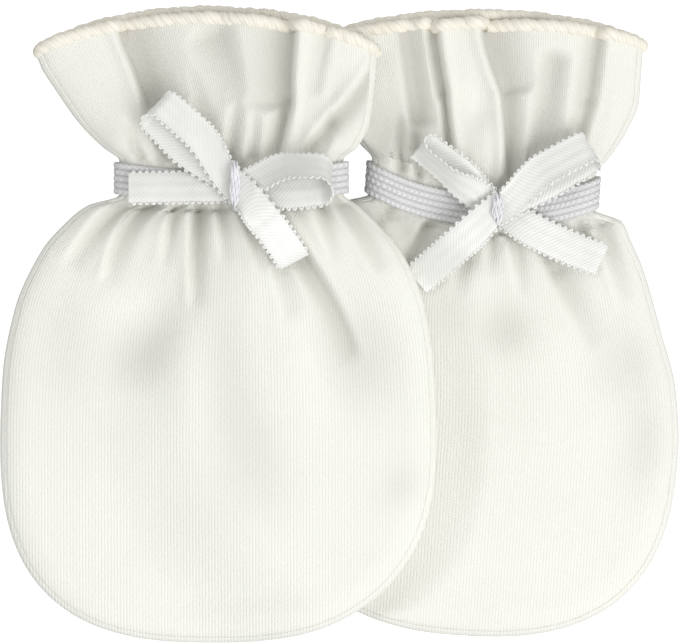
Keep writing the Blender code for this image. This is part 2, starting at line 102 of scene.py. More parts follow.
# rows: along from the elastic, left, right, height, rise of the middle
# folds: line from u1, v1 to u2, v2, width to the left and right of it, depth at its start and
#        end, sideways bow and lip of the sharp side
# swells: centre u, v, radius across and along, turn in degrees, height (hollows are negative)
# hemSteps: place across, drop, run (to the right when positive, to the left when negative)
# loops: direction, length, radius of its end, tilt below and on top, sideways shift below and on
#        top, layers under its end at the tack
# tails: direction, length, sideways bend, layers under it, slant of its cut, roll about its length
mittens = {
    "left": {
        "turn": 0.0, "hemTilt": 0.0, "bowAt": (0.8, -1.6),
        "tip": {"depth": 36.3, "lean": -1.2, "leftPower": 2.6, "rightPower": 2.5, "height": 5.4},
        "rows": [
            (20.3, -34.4, 25.6, 6.0, 6.3),
            (15.5, -31.2, 25.2, 6.1, 4.4),
            (9.5, -26.9, 24.4, 6.2, 2.0),
            (5.2, -22.6, 22.2, 6.5, -0.2),
            (3.1, -19.9, 19.8, 6.6, -1.2),
            (-3.1, -19.9, 19.8, 6.6, -1.8),
            (-4.8, -25.4, 22.2, 6.6, -1.6),
            (-8.3, -29.8, 25.9, 6.5, -1.0),
            (-12.7, -33.6, 29.8, 6.2, -0.4),
            (-23.4, -38.5, 34.2, 6.1, 0.0),
            (-35.0, -40.6, 35.8, 6.1, 0.0),
            (-46.0, -41.0, 36.2, 6.1, 0.0),
        ],
        "folds": [
            (-19.6, 25.5, -14.6, 12.6, 0.7, 6.5, 3.2, 2.8, 0.3, 0.6),
            (-14.6, 12.6, -12.0, 4.0, 1.0, 4.0, 2.3, 1.9, 0.0, 0.3),
            (-2.4, 25.0, 1.0, 15.0, 4.6, 2.6, 2.2, 0.9, 0.0, 0.0),
            (11.3, 28.5, 10.2, 13.0, 5.6, 0.6, 3.3, 3.0, -0.3, 0.8),
            (10.2, 13.0, 7.9, 3.0, 2.0, 0.6, 3.0, 2.6, 0.0, 0.5),
            (25.2, 19.0, 17.4, 9.6, 0.8, 2.6, 2.5, 2.4, 0.4, 0.6),
            (17.4, 9.6, 12.8, 3.4, 0.9, 1.7, 2.4, 2.3, 0.0, 0.4),
            (17.0, 26.0, 14.8, 16.0, 2.0, 1.2, 1.3, 0.8, 0.0, 0.2),
            (-7.4, 18.0, -4.6, 4.0, 1.5, 2.2, 0.7, 1.8, 0.4, 0.2),
            (0.8, 13.4, -0.4, 3.6, 1.1, 1.4, 0.6, 1.9, 0.0, 0.2),
            (4.2, 11.0, 3.6, 3.6, 0.9, 1.1, 0.4, 1.6, 0.0, 0.0),
            (-17.6, 8.4, -16.2, 3.4, 0.8, 1.0, 0.8, 1.8, 0.0, 0.0),
            (-16.4, -3.6, -27.6, -14.0, 1.3, 2.2, 3.3, 0.9, -1.1, 0.5),
            (-13.9, -3.6, -21.6, -17.0, 1.0, 2.4, 3.2, 0.8, -1.4, 0.5),
            (-5.8, -3.6, -6.4, -21.0, 1.0, 1.6, 3.6, 0.7, -0.2, 0.4),
            (-9.9, -3.6, -11.4, -13.6, 0.9, 1.2, 2.4, 0.5, 0.0, 0.2),
            (-2.0, -3.6, -1.2, -13.0, 0.9, 1.3, 2.4, 0.4, 0.0, 0.2),
            (1.6, -3.6, 5.2, -14.4, 1.0, 1.6, 2.4, 0.7, 0.0, 0.2),
            (6.2, -9.6, 9.8, -23.0, 1.2, 2.8, 2.2, 0.7, 0.3, 0.2),
            (12.2, -13.6, 21.0, -30.0, 2.2, 1.4, 3.0, 1.0, 0.6, 0.5),
            (18.4, -3.6, 25.2, -15.0, 1.4, 2.4, 3.0, 0.8, 0.4, 0.4),
            (14.6, -3.6, 17.6, -12.6, 1.0, 1.4, 2.4, 0.4, 0.2, 0.2),
            (-18.6, -3.8, -23.4, -7.4, 0.9, 1.0, 2.0, 0.8, 0.0, 0.0),
        ],
        "swells": [
            (-19.4, 6.0, 3.6, 4.6, 10.0, 1.3),
            (3.4, 12.0, 3.6, 6.0, 0.0, 0.9),
            (19.0, 9.6, 2.2, 6.5, -30.0, 0.9),
            (-17.0, -31.0, 5.4, 4.6, 0.0, -1.7),
            (-11.6, -25.0, 3.6, 6.5, -32.0, -1.0),
            (-1.0, -36.0, 4.4, 13.0, 6.0, -1.0),
            (3.4, -50.0, 5.0, 9.0, 12.0, -0.8),
            (21.0, -30.0, 5.6, 7.6, 25.0, -1.7),
            (29.0, -53.0, 4.0, 3.4, 0.0, -0.8),
            (-30.6, -27.0, 4.6, 8.0, 0.0, -0.9),
            (-8.6, -33.0, 3.4, 9.0, 0.0, 0.5),
            (11.0, -33.0, 4.6, 9.0, 12.0, 0.7),
            (-21.0, -20.0, 5.0, 4.0, 0.0, 0.6),
            (-14.0, -46.0, 9.0, 6.0, 20.0, 0.5),
        ],
        "hemSteps": [(11.2, 0.9, -5.0)],
        "ripple": (0.4, 2.1, 4.4),
        "loops": [
            ("bow_loop_left", 136.0, 20.0, 1.5, 0.0, -22.0, 1.6, -2.2, 3.3),
            ("bow_loop_right", 3.0, 17.0, 2.3, 12.0, 44.0, -2.0, 3.2, 2.4),
        ],
        "tails": [
            ("bow_tail_left", 181.0, 18.8, 0.0, 0.0, 0.0, -20.0),
            ("bow_tail_low", -52.0, 17.0, 0.4, 4.6, 10.0, 2.0),
        ],
        "tack": (1.5, 8.6),
    },
    "right": {
        "turn": -4.0, "hemTilt": 2.1, "bowAt": (2.7, -4.4),
        "tip": {"depth": 35.4, "lean": 0.6, "leftPower": 2.2, "rightPower": 2.6, "height": 5.4},
        "rows": [
            (22.6, -33.0, 26.6, 6.0, 4.4),
            (17.0, -31.0, 26.6, 6.1, 3.0),
            (10.5, -27.0, 24.5, 6.2, 0.6),
            (5.6, -22.2, 21.6, 6.5, -2.2),
            (3.1, -19.9, 19.8, 6.6, -4.2),
            (-3.1, -19.9, 19.8, 6.6, -5.0),
            (-4.8, -24.6, 24.9, 6.6, -4.4),
            (-8.3, -29.0, 26.9, 6.5, -2.8),
            (-12.7, -32.8, 29.2, 6.2, -1.2),
            (-23.6, -37.2, 33.2, 6.1, 0.0),
            (-34.0, -38.4, 36.6, 6.1, 0.0),
            (-44.6, -38.6, 37.8, 6.1, 0.0),
        ],
        "folds": [
            (-16.0, 25.4, -12.6, 10.4, 1.4, 3.0, 3.2, 3.0, 0.0, 0.3),
            (-11.2, 28.5, -8.1, 15.6, 1.6, 0.6, 3.0, 2.8, 0.0, 0.8),
            (-8.1, 15.6, -5.6, 1.6, 1.0, 0.6, 2.8, 2.5, 0.0, 0.5),
            (-2.3, 28.5, 2.3, 16.6, 0.6, 5.4, 3.2, 2.8, -0.3, 0.8),
            (2.3, 16.6, 4.6, 0.8, 0.6, 2.8, 2.8, 2.4, 0.2, 0.5),
            (10.8, 22.6, 9.6, 6.0, 2.6, 2.4, 2.0, 1.7, 0.0, 0.0),
            (18.6, 27.0, 17.6, 15.6, 2.6, 1.0, 2.1, 1.9, 0.0, 0.5),
            (17.6, 15.6, 15.0, 4.0, 2.0, 1.0, 1.9, 2.4, 0.0, 0.4),
            (-15.6, 9.6, -14.6, 1.0, 0.9, 0.9, 1.6, 2.6, 0.0, 0.2),
            (-12.4, 8.4, -11.4, 0.0, 0.9, 0.9, 1.4, 2.6, 0.0, 0.2),
            (8.0, 9.0, 7.2, 1.0, 0.8, 1.1, 0.8, 2.0, 0.0, 0.2),
            (12.2, 9.6, 11.0, 2.4, 0.9, 1.1, 0.8, 2.0, 0.0, 0.2),
            (-15.0, -4.0, -19.6, -11.0, 0.9, 1.3, 2.8, 1.0, 0.0, 0.4),
            (-8.2, -5.4, -15.6, -18.0, 0.9, 1.5, 3.0, 1.2, 0.4, 0.5),
            (-2.2, -9.0, -3.4, -18.0, 1.7, 1.9, 2.5, 0.6, 0.0, 0.2),
            (10.6, -8.0, 14.0, -14.4, 1.6, 2.1, 2.8, 1.9, 0.0, 0.3),
            (14.0, -14.4, 20.4, -25.6, 1.6, 2.8, 1.9, 0.6, 0.0, 0.2),
            (21.0, -6.0, 25.4, -17.0, 1.4, 2.2, 2.5, 0.6, 0.3, 0.4),
            (6.0, -8.0, 7.8, -17.0, 1.2, 1.6, 2.2, 0.5, 0.0, 0.2),
            (2.0, -8.4, 2.2, -14.4, 1.0, 1.2, 1.8, 0.4, 0.0, 0.0),
            (17.6, -6.0, 19.6, -11.6, 1.0, 1.2, 1.9, 0.4, 0.0, 0.0),
        ],
        "swells": [
            (-17.0, 8.0, 1.6, 5.0, 12.0, 0.6),
            (-1.8, 13.6, 2.4, 3.4, 0.0, -1.2),
            (-0.4, 8.0, 2.2, 3.2, 0.0, 0.6),
            (21.4, 18.0, 1.8, 6.0, 4.0, 0.8),
            (13.4, 15.0, 2.0, 7.0, 4.0, 0.4),
            (4.6, -24.4, 4.4, 3.8, -30.0, -1.8),
            (-5.2, -22.7, 3.4, 3.8, 0.0, -0.8),
            (26.4, -28.4, 5.0, 6.0, 0.0, -1.2),
            (30.6, -42.4, 4.2, 7.0, 0.0, -1.1),
            (11.4, -27.0, 4.0, 6.0, 20.0, 0.6),
            (8.0, -44.0, 9.0, 6.0, 10.0, 0.5),
        ],
        "hemSteps": [(-11.0, 0.8, 6.0), (-2.1, 0.8, 9.0)],
        "ripple": (1.3, 3.7, 0.6),
        "loops": [
            ("bow_loop_left", 142.0, 17.6, 1.6, 20.0, 62.0, -0.9, 1.0, 2.4),
            ("bow_loop_right", 30.5, 19.6, 1.3, 6.0, 20.0, -0.4, 2.2, 3.3),
        ],
        "tails": [
            ("bow_tail_left", 221.5, 19.0, 0.0, 4.5, 0.0, 6.0),
            ("bow_tail_low", -26.0, 20.4, -0.6, 0.0, 0.0, 4.0),
        ],
        "tack": (1.9, 5.7),
    },
}


def ease(value):  # smooth step from 0 to 1
    value = np.clip(value, 0.0, 1.0)
    return value * value * (3.0 - 2.0 * value)


def unit(vectors):
    return vectors / np.linalg.norm(vectors, axis=-1, keepdims=True)


def middleOf(node):
    low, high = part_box(node)
    return np.array((low + high) / 2) / mm


def smoothCurve(xs, ys):  # a curve through the points that never swings past them
    order = np.argsort(xs)
    xs, ys = np.array(xs, float)[order], np.array(ys, float)[order]
    runs = np.diff(xs)
    rates = np.diff(ys) / runs
    slopes = np.zeros(len(xs))
    for i in range(1, len(xs) - 1):
        if rates[i - 1] * rates[i] > 0.0:
            slopes[i] = 2.0 * rates[i - 1] * rates[i] / (rates[i - 1] + rates[i])
    slopes[-1] = rates[-1]

    def value(x):
        i = np.clip(np.searchsorted(xs, x) - 1, 0, len(runs) - 1)
        t = np.clip((x - xs[i]) / runs[i], 0.0, 1.0)
        rise, start, end = ys[i + 1] - ys[i], slopes[i] * runs[i], slopes[i + 1] * runs[i]
        return ys[i] + t * (start + t * (3 * rise - 2 * start - end + t * (start + end - 2 * rise)))
    return value


def foldDepth(fold, u, v):  # a trough, steep on one side and slow on the other
    u1, v1, u2, v2, leftWidth, rightWidth, startDepth, endDepth, bow, lip = fold
    length = math.hypot(u2 - u1, v2 - v1)
    du, dv = (u2 - u1) / length, (v2 - v1) / length
    along = (u - u1) * du + (v - v1) * dv
    share = np.clip(along / length, 0.0, 1.0)
    sideways = ((v - v1) * du - (u - u1) * dv) * (1 if dv < 0 else -1)
    sideways = sideways - bow * 4 * share * (1 - share)
    past = along - share * length
    width = np.where(sideways < 0, leftWidth, rightWidth)
    depth = (startDepth + (endDepth - startDepth) * share) * np.exp(-(sideways / width) ** 2)
    sharp = -1 if leftWidth < rightWidth else 1
    crest = lip * np.exp(-((sideways * sharp - 1.5) / 1.1) ** 2)
    return (depth - crest) * np.exp(-(past / 1.6) ** 2)


def foldsTogether(folds, u, v):  # folds that meet run into each other and don't add up
    depths = [foldDepth(fold, u, v) for fold in folds]
    troughs = sum(np.maximum(depth, 0.0) ** 4 for depth in depths) ** 0.25
    lips = sum(np.maximum(-depth, 0.0) ** 4 for depth in depths) ** 0.25
    return troughs - lips


def swellHeight(swell, u, v):
    u0, v0, across, along, turn, height = swell
    cos, sin = math.cos(math.radians(turn)), math.sin(math.radians(turn))
    a = ((u - u0) * cos + (v - v0) * sin) / across
    b = ((v - v0) * cos - (u - u0) * sin) / along
    return height * np.exp(-(a * a + b * b) / 1.4)


class Shape:  # where the cloth of one mitten lies
    def __init__(self, side, facts):
        self.side, self.facts, self.tip = side, facts, facts["tip"]
        rows = np.array(facts["rows"])
        self.hem, self.widest = rows[0, 0], rows[-1, 0]
        self.left, self.right, self.height, self.arch = (
            smoothCurve(rows[:, 0], rows[:, k]) for k in range(1, 5))
        turn = math.radians(facts["turn"])
        self.cos, self.sin = math.cos(turn), math.sin(turn)
        self.upCuff = np.array((-self.sin, self.cos, 0.0))
        x, y, _ = middleOf(side + "_bow_tack")
        u, v = facts["bowAt"]
        self.centre = (x - u * self.cos + v * self.sin, y - u * self.sin - v * self.cos)
        self.liftEdge = self.squashEdge = None

    def world(self, u, v):
        return (self.centre[0] + u * self.cos - v * self.sin,
                self.centre[1] + u * self.sin + v * self.cos)

    def local(self, x, y):
        x, y = x - self.centre[0], y - self.centre[1]
        return x * self.cos + y * self.sin, y * self.cos - x * self.sin

    def rowEnds(self, row):
        tilt = self.facts["hemTilt"] * np.maximum(row / self.hem, 0.0) ** 2
        return self.left(row - tilt), row - tilt, self.right(row + tilt), row + tilt

    def tipEdge(self, angle):  # from pi at the left to 2 pi at the right
        tip = self.tip
        across, down = np.cos(angle), np.abs(np.sin(angle))
        power = np.where(across < 0, tip["leftPower"], tip["rightPower"])
        left, right = self.left(self.widest), self.right(self.widest)
        reach = np.sign(across) * np.abs(across) ** (2 / power)
        drop = down ** (2 / power)
        return ((left + right) / 2 + (right - left) / 2 * reach + tip["lean"] * drop ** 2,
                self.widest - tip["depth"] * drop)

    def sideOutline(self, side):
        rows = np.linspace(self.hem, self.widest, 60)
        leftU, leftV, rightU, rightV = self.rowEnds(rows)
        u, v = (leftU, leftV) if side < 0 else (rightU, rightV)
        steps = np.linspace(0.0, 0.5, 30)[1:]
        tipU, tipV = self.tipEdge(math.pi * (1 + steps if side < 0 else 2 - steps))
        x, y = self.world(np.append(u, tipU), np.append(v, tipV))
        return y[::-1], x[::-1]

    def plan(self, place, share, back):  # place runs hem, tip, hem; share runs edge to middle
        inTip = (place > 1.0) & (place < 2.0)
        onLeft = place <= 1.5
        down = np.clip(np.where(onLeft, place, 3.0 - place), 0.0, 1.0)
        row = self.hem + (self.widest - self.hem) * down
        leftU, leftV, rightU, rightV = self.rowEnds(row)
        across = (1 - share) * np.where(onLeft, -1, 1)
        bulge = np.maximum(1 - across * across, 0.0) ** 0.75
        extra = np.maximum(self.arch(row), 0) + stacking["backArchExtra"] * ease(row / self.hem)
        arch = np.where(back, extra, self.arch(row))
        u = (leftU * (1 - across) + rightU * (1 + across)) / 2
        v = (leftV * (1 - across) + rightV * (1 + across)) / 2 + arch * bulge
        v = v + np.where(back, 0.0, self.hemDrop(row, u))
        tipU, tipV = self.tipEdge(math.pi * place)
        poleU = (self.left(self.widest) + self.right(self.widest)) / 2
        u = np.where(inTip, tipU + (poleU - tipU) * share, u)
        v = np.where(inTip, tipV + (self.widest - tipV) * share, v)
        return np.where(inTip, v, row), u, v

    def hemDrop(self, row, u):  # the hem steps down beside each deep pleat
        drop = 0.0
        for place, depth, run in self.facts["hemSteps"]:
            past = (u - place) * np.sign(run)
            drop = drop - depth * ease(past / 0.7) * np.exp(-np.maximum(past, 0) / abs(run))
        return drop * ease(1 - (self.hem - row) / 9.0)

    def base(self, x, y, run=stacking["liftRun"]):
        if self.liftEdge is None:
            return 0.0 * x
        edge = np.minimum(np.interp(y, *self.liftEdge), stacking["bridgeEdge"])
        return stacking["lift"] * ease((x - edge + run) / (run - 1.0))

    def pressed(self, row):
        return 1 - ease((np.abs(row) - wrist["groove"]) / wrist["grooveRun"])

    def ripples(self, row, u, back):  # fine gathers that run out from the elastic
        leftU, _, rightU, _ = self.rowEnds(np.maximum(row, self.widest))
        across = (2 * u - leftU - rightU) / (rightU - leftU)
        a, b, c = self.facts["ripple"]
        shift = 1.7 if back else 0.0
        wave = (np.sin(22 * across + a + shift) + 0.8 * np.sin(37 * across + b - shift)
                + 0.6 * np.sin(59 * across + c)) / 2.4
        wave = wave * (0.65 + 0.35 * np.sin(5.3 * across + c + shift))
        away = np.maximum(np.abs(row) - wrist["groove"] * 0.7, 0.0)
        fade = ease(away / 1.6) * np.exp(-away / wrist["gatherRun"]) * (1 - np.abs(across) ** 6)
        return wrist["gatherDepth"] * wave * fade

    def backHeight(self, row, u, v, folded=True):
        x, y = self.world(u, v)
        underBand = (wrist["bandThick"] + wrist["bandGap"] + 0.05) * self.pressed(row)
        underRoll = stacking["hemRaise"] * ease(1 - (self.hem - row) / stacking["hemRaiseRun"])
        height = self.base(x, y) + underBand + underRoll
        if folded:
            clear = ease((np.abs(row) - wrist["groove"]) / (2 * wrist["grooveRun"]))
            creases = foldsTogether(self.backFolds(), u, v)
            height = height + np.maximum(self.ripples(row, u, True), 0.0) + clear * np.maximum(creases, 0.0)
        return height

    def backFolds(self):  # softer folds than the front's, the other way round
        for fold in self.facts["folds"]:
            u1, v1, u2, v2, leftWidth, rightWidth, startDepth, endDepth, bow, _ = fold
            mirrored = 3.1 - u1, v1, 3.1 - u2, v2
            widths = rightWidth + 0.6, leftWidth + 0.6
            yield (*mirrored, *widths, startDepth * 0.3, endDepth * 0.24, bow, 0.0)

    def frontHeight(self, row, u, v, folded=True):
        x, y = self.world(u, v)
        height = self.height(row)
        past = ease((self.widest - row) / self.tip["depth"])
        height = height + np.where(row < self.widest, (self.tip["height"] - height) * past, 0.0)
        height = height - wrist["grooveDepth"] * self.pressed(row)
        if folded:
            clear = ease((np.abs(row) - wrist["groove"] + 0.2) / 1.5)
            folds = foldsTogether(self.facts["folds"], u, v)
            swells = sum(swellHeight(swell, u, v) for swell in self.facts["swells"])
            height = height - clear * (folds - swells) + self.ripples(row, u, False)
        if self.squashEdge is not None:
            edge = np.interp(y, *self.squashEdge)
            full = ease((x - edge - 1.0) / stacking["squashRun"])
            height = stacking["squashed"] + (height - stacking["squashed"]) * full
        least = self.backHeight(row, u, v, folded) + 2 * clothLook["wall"] + 0.35
        height = self.base(x, y, stacking["topLiftRun"]) + height
        return np.where(folded, softMax(height, least, 0.5), np.maximum(height, least + 0.8))

    def paintedShade(self, row, u, v, back):  # how far a place lies down in a fold, from 0 to 1, used as painted shade that darkens the cloth's colour there
        folds = self.backFolds() if back else self.facts["folds"]
        depth = np.maximum(foldsTogether(folds, u, v), 0.0)
        if not back:
            swells = sum(swellHeight(swell, u, v) for swell in self.facts["swells"])
            depth = depth - 0.75 * swells * ease(-(row + 6.0) / 8.0)
        depth = depth - 1.5 * self.ripples(row, u, back) * (-1 if back else 1)
        return np.clip(depth / 2.7, 0.0, 1.0)

    def edge(self, place):  # plan of the very edge, run of its rounding and width to the middle
        start = self.plan(place, 0.0, False)
        probe = self.plan(place, 0.15, False)
        half = (self.frontHeight(*probe, False) - self.backHeight(*probe, False)) / 2
        roll = np.minimum(clothLook["rollMax"], half * half / clothLook["rollTight"])
        middle = self.plan(place, 1.0, False)
        return start, roll, half, np.hypot(middle[1] - start[1], middle[2] - start[2])

    def point(self, place, ring, folded=True):
        # the ring runs from -2, the middle of the back, by 0, the very edge, to 2, the middle of
        # the front; within -1 and 1 the cloth turns round the edge
        back = ring < 0
        _, roll, _, width = self.edge(place)
        angle = np.minimum(np.abs(ring), 1.0) * math.pi / 2
        reach = roll * (1 - np.cos(angle)) + np.maximum(np.abs(ring) - 1.0, 0.0) * (width - roll)
        row, u, v = self.plan(place, reach / width, back)
        x, y = self.world(u, v)
        low, high = self.backHeight(row, u, v, folded), self.frontHeight(row, u, v, folded)
        turn = np.where(np.abs(ring) < 1.0, np.sin(angle), 1.0)
        z = (low + high) / 2 + (high - low) / 2 * turn * np.sign(ring)
        return np.stack((x, y, z), -1), row, u, v

    def outward(self, place, ring):  # which way the cloth faces, folds left out
        step = 0.002
        before = self.point(np.clip(place - step, 0, 3), 0 * ring, False)[0]
        after = self.point(np.clip(place + step, 0, 3), 0 * ring, False)[0]
        run = after - before
        flat = unit(np.stack((run[..., 1], -run[..., 0], 0 * run[..., 0]), -1))
        angle = np.clip(ring, -1, 1)[..., None] * math.pi / 2
        return np.cos(angle) * flat + np.sin(angle) * np.array((0.0, 0.0, 1.0))

    def seamRing(self, place):
        _, roll, half, _ = self.edge(place)
        angle = np.arccos(1 - np.minimum(clothLook["seamInset"] / roll, 0.4))
        radius = np.maximum((roll + half) / 2, 0.5)
        return angle / (math.pi / 2), radius * math.pi / 2


def softMax(a, b, blend):
    return b + (a - b + np.sqrt((a - b) ** 2 + blend * blend)) / 2


def meshPiece(name, points, faces, cornerUV, look, sharpAngle=50.0, paintedShade=None):
    used = np.unique(np.concatenate([np.array(face) for face in faces]))
    fresh = np.full(len(points), -1)
    fresh[used] = np.arange(len(used))
    mesh = bpy.data.meshes.new(name)
    mesh.from_pydata((points[used] * mm).tolist(), [], [[int(fresh[c]) for c in f] for f in faces])
    mesh.update()
    layer = mesh.uv_layers.new(name="flatCut")
    layer.data.foreach_set("uv", cornerUV.astype(np.float32).ravel())
    # a per-point mask of painted shade in the folds, read by the cloth's material
    if paintedShade is not None:
        depths = mesh.attributes.new(name="paintedShade", type="FLOAT", domain="POINT")
        depths.data.foreach_set("value", paintedShade[used].astype(np.float32))
    mesh.shade_smooth()
    mesh.set_sharp_from_angle(angle=math.radians(sharpAngle))
    mesh.materials.append(look)
    piece = bpy.data.objects.new(name, mesh)
    bpy.context.scene.collection.objects.link(piece)
    return piece


def gridFaces(index, flip=False, closed=False):
    rows = np.vstack((index, index[:1])) if closed else index
    quads = np.stack((rows[:-1, :-1], rows[1:, :-1], rows[1:, 1:], rows[:-1, 1:]), -1).reshape(-1, 4)
    if flip:
        quads = quads[:, ::-1]
    faces = [tuple(dict.fromkeys(quad)) for quad in quads.tolist()]
    return [face for face in faces if len(face) > 2]


def shell(name, outer, inner, uv, look, index=None, closed=False, flip=False, paintedShade=None):
    # a wall between two grids of points, closed all round its rim
    count, sides = outer.shape[:2]
    if index is None:
        index = np.arange(count * sides).reshape(count, sides)
    under = index + count * sides
    faces = gridFaces(index, flip, closed) + gridFaces(under, not flip, closed)
    rims = [(index[:, 0], under[:, 0], True), (index[:, -1], under[:, -1], False)]
    if not closed:
        rims += [(index[0], under[0], False), (index[-1], under[-1], True)]
    for top, low, turned in rims:
        strip = np.stack((top, low), -1)
        if len(np.unique(top)) * 2 > len(top) + 2:
            faces += gridFaces(strip, turned != flip, closed and len(top) == count)
    points = np.concatenate((outer.reshape(-1, 3), inner.reshape(-1, 3)))
    uv = np.concatenate((uv.reshape(-1, 2),) * 2)
    paintedShade = None if paintedShade is None else np.tile(paintedShade.ravel(), 2)
    return meshPiece(name, points, faces, uv[np.concatenate(faces)], look, paintedShade=paintedShade)


def tubes(name, parts, look, sharpAngle=60.0):
    # parts: rings of points of each tube, their flat places and if it runs round in a ring;
    # the flat places have a column more, and a row more on a ring, to close the pattern
    points, faces, flat, start = [], [], [], 0
    for rings, uv, closed in parts:
        count, sides = rings.shape[:2]
        index = start + np.arange(count * sides).reshape(count, sides)
        faces += gridFaces(np.hstack((index, index[:, :1])), False, closed)
        places = np.arange(uv.shape[0] * uv.shape[1]).reshape(uv.shape[:2])
        flat.append(uv.reshape(-1, 2)[np.concatenate(gridFaces(places))])
        if not closed:
            faces += [tuple(index[0].tolist()), tuple(index[-1][::-1].tolist())]
            flat += [uv[0, :-1], uv[-1, :-1][::-1]]
        points.append(rings.reshape(-1, 3))
        start += count * sides
    return meshPiece(name, np.concatenate(points), faces, np.concatenate(flat), look, sharpAngle)


def addNode(tree, kind, inputs=None, **settings):
    node = tree.nodes.new(kind)
    for key, value in settings.items():
        setattr(node, key, value)
    for key, value in (inputs or {}).items():
        if isinstance(value, bpy.types.NodeSocket):
            tree.links.new(value, node.inputs[key])
        else:
            node.inputs[key].default_value = value
    return node


def calc(tree, operation, a, b=0.0, c=0.0):
    return addNode(tree, "ShaderNodeMath", {0: a, 1: b, 2: c}, operation=operation).outputs[0]


def newGroup(name, inputs, outputs):
    tree = bpy.data.node_groups.new(name, "ShaderNodeTree")
    for label, kind in inputs:
        tree.interface.new_socket(name=label, in_out="INPUT", socket_type="NodeSocket" + kind)
    for label, kind in outputs:
        tree.interface.new_socket(name=label, in_out="OUTPUT", socket_type="NodeSocket" + kind)
    return tree, addNode(tree, "NodeGroupInput").outputs, addNode(tree, "NodeGroupOutput").inputs


def knitStitchGroup():  # wales of small V stitches; the vector counts wales and courses
    tree, given, out = newGroup("knitStitch", [("Stitches", "Vector")],
                                [("Height", "Float"), ("Between", "Float")])
    split = addNode(tree, "ShaderNodeSeparateXYZ", {0: given["Stitches"]}).outputs
    side = calc(tree, "ABSOLUTE", calc(tree, "SUBTRACT", calc(tree, "FRACT", split["X"]), 0.5))
    doubled = calc(tree, "MULTIPLY", side, 2.0)
    wale = calc(tree, "SUBTRACT", 1.0, calc(tree, "POWER", doubled, 2.0))
    course = calc(tree, "MULTIPLY_ADD", calc(tree, "FLOOR", split["X"]), 0.36, split["Y"])
    phase = calc(tree, "MULTIPLY", calc(tree, "ADD", course, side), math.tau)
    stitch = calc(tree, "MULTIPLY_ADD", calc(tree, "SINE", phase), 0.5, 0.5)
    shaped = calc(tree, "MULTIPLY", wale, calc(tree, "MULTIPLY_ADD", stitch, 0.5, 0.5))
    tree.links.new(shaped, out["Height"])
    tree.links.new(calc(tree, "SUBTRACT", 1.0, shaped), out["Between"])
    return tree


def threadGroup():  # spun threads side by side; the vector runs across and along them
    tree, given, out = newGroup("spunThread", [("Along", "Vector")],
                                [("Height", "Float"), ("Between", "Float")])
    split = addNode(tree, "ShaderNodeSeparateXYZ", {0: given["Along"]}).outputs
    wobble = addNode(tree, "ShaderNodeTexNoise", {"Vector": given["Along"], "Scale": 0.35, "Detail": 2.0})
    across = calc(tree, "MULTIPLY_ADD", wobble.outputs[0], 0.5, split["X"])
    wave = calc(tree, "SINE", calc(tree, "MULTIPLY", across, math.tau))
    height = calc(tree, "MULTIPLY_ADD", wave, 0.5, 0.5)
    tree.links.new(height, out["Height"])
    tree.links.new(calc(tree, "SUBTRACT", 1.0, height), out["Between"])
    return tree


def toneGroup():  # a colour that drifts a little, with painted shade between threads and painted shade in the folds
    tree, given, out = newGroup(
        "fibreTone",
        [("Place", "Vector"), ("Scale", "Float"), ("Tone", "Color"), ("Drift", "Color"),
         ("Gap Painted Shade", "Color"), ("Between", "Float"), ("Gap Share", "Float"),
         ("Painted Shade", "Float"), ("Painted Shade Tone", "Color")],
        [("Colour", "Color"), ("Fuzz", "Float")])
    broad = addNode(tree, "ShaderNodeTexNoise",
                    {"Vector": given["Place"], "Scale": given["Scale"], "Detail": 4.0})
    mask = addNode(tree, "ShaderNodeMapRange", {0: broad.outputs[0], 1: 0.35, 2: 0.7}).outputs[0]
    drift = addNode(tree, "ShaderNodeMix", {0: mask, 6: given["Tone"], 7: given["Drift"]},
                    data_type="RGBA").outputs[2]
    # painted shade between threads: the gaps are mixed towards a darker tone
    share = calc(tree, "MULTIPLY", given["Between"], given["Gap Share"])
    gapShaded = addNode(tree, "ShaderNodeMix", {0: share, 6: drift, 7: given["Gap Painted Shade"]},
                   data_type="RGBA").outputs[2]
    # painted shade in the folds: the colour is mixed towards a darker tone by the fold mask
    final = addNode(tree, "ShaderNodeMix", {0: given["Painted Shade"], 6: gapShaded, 7: given["Painted Shade Tone"]},
                    data_type="RGBA").outputs[2]
    fine = addNode(tree, "ShaderNodeTexNoise", {"Vector": given["Place"], "Scale": 2600.0, "Detail": 3.0})
    tree.links.new(final, out["Colour"])
    tree.links.new(fine.outputs[0], out["Fuzz"])
    return tree


groups = {"knit": knitStitchGroup(), "thread": threadGroup(), "tone": toneGroup()}


def useGroup(tree, key, inputs):
    node = tree.nodes.new("ShaderNodeGroup")
    node.node_tree = groups[key]
    for label, value in inputs.items():
        if isinstance(value, bpy.types.NodeSocket):
            tree.links.new(value, node.inputs[label])
        else:
            node.inputs[label].default_value = value
    return node.outputs


